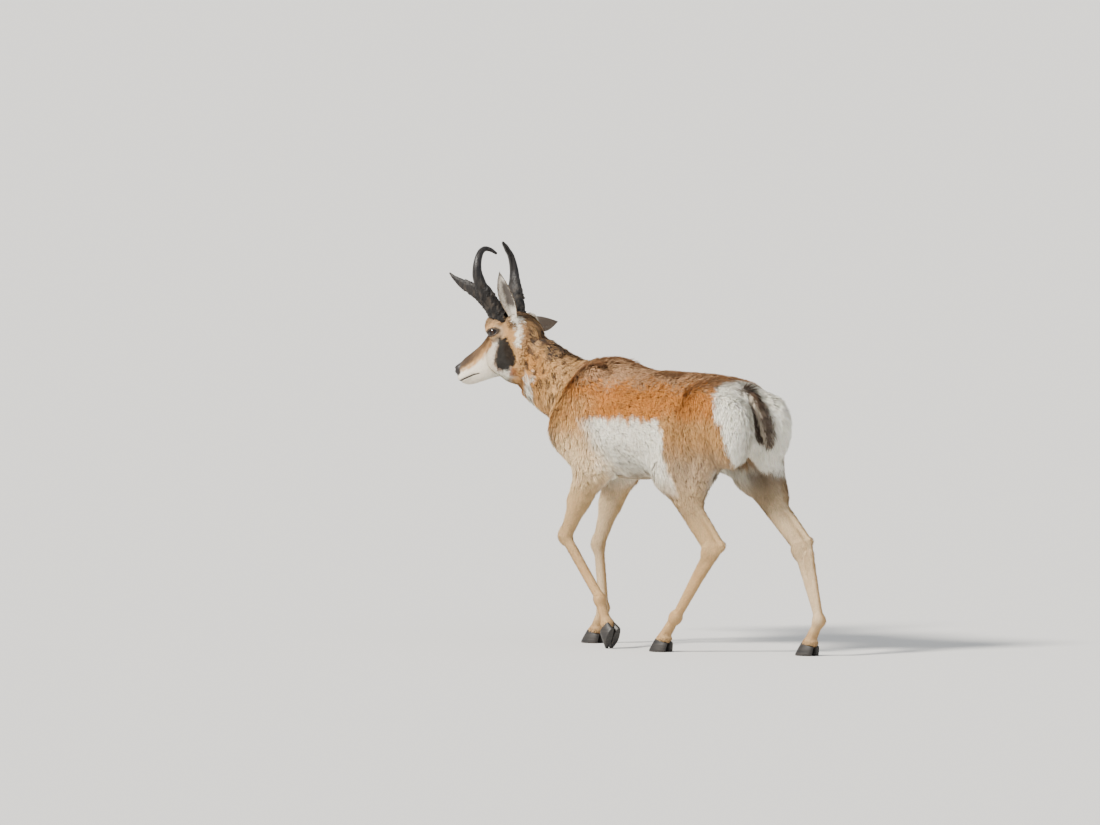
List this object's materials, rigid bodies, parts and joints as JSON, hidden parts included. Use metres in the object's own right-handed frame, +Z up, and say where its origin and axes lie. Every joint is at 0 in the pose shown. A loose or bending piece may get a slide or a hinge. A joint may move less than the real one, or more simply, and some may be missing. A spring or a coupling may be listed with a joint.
{
  "type": "pronghorn",
  "caption": "Life-size adult pronghorn buck in a slow walk, a still display model of the whole animal with forked horns and a pale rump.",
  "frame": {"origin": "middle of the model's footprint, on the floor", "axes": "the animal faces -Y, its left side is +X, +Z is up"},
  "size_m": [0.3625, 1.469, 1.2141],
  "materials": {
    "coat_trunk": "coarse orange-brown hair with a white flank panel, belly and rump",
    "coat_neck": "coarse tan hair with white throat bands and a dark mane",
    "coat_head": "short hair, tan above and cream on the muzzle and cheek, with black marks",
    "coat_leg": "short smooth buff hair, paler inside",
    "coat_ear": "very short grey-tan hair with a pale rim",
    "coat_tail": "short dark brown hair",
    "horn": "black horn sheath, ridged at the root, satin towards the tips",
    "hoof": "black hoof horn, satin",
    "eye": "wet, near black"
  },
  "bodies": {
    "root": {"trunk": "coat_trunk", "neck": "coat_neck", "head": "coat_head", "tail": "coat_tail", "ear_left": "coat_ear", "ear_right": "coat_ear", "eye_left": "eye", "eye_right": "eye", "horn_left": "horn", "horn_right": "horn", "foreleg_upper_left": "coat_leg", "foreleg_upper_right": "coat_leg", "foreleg_lower_left": "coat_leg", "foreleg_lower_right": "coat_leg", "hindleg_upper_left": "coat_leg", "hindleg_upper_right": "coat_leg", "hindleg_lower_left": "coat_leg", "hindleg_lower_right": "coat_leg", "hoof_fore_left_outer": "hoof", "hoof_fore_left_inner": "hoof", "hoof_fore_right_outer": "hoof", "hoof_fore_right_inner": "hoof", "hoof_hind_left_outer": "hoof", "hoof_hind_left_inner": "hoof", "hoof_hind_right_outer": "hoof", "hoof_hind_right_inner": "hoof"}
  },
  "joints": []
}
